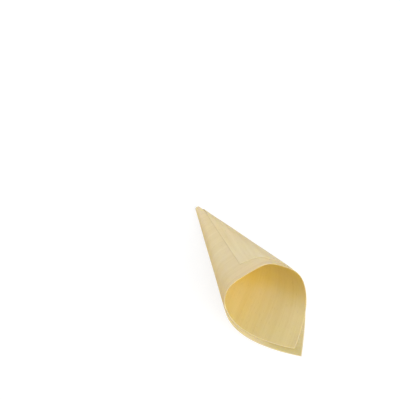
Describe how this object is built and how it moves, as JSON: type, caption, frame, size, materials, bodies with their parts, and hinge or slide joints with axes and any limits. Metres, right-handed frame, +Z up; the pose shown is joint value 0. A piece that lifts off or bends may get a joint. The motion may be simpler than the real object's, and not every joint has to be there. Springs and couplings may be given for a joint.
{
  "type": "wooden food cone",
  "caption": "Serving cone rolled from a thin wooden veneer sheet, with a pointed lip, an open mouth for finger food and a small blunt tip.",
  "frame": {"origin": "middle of the box round the cone, on the surface that it lies on", "axes": "+Y from the mouth to the tip along the line that it lies on, +Z up"},
  "size_m": [0.0724, 0.1812, 0.0553],
  "materials": {
    "veneer": "plain matt veneer"
  },
  "bodies": {
    "root": {"rolled_cone": "veneer"}
  },
  "joints": []
}
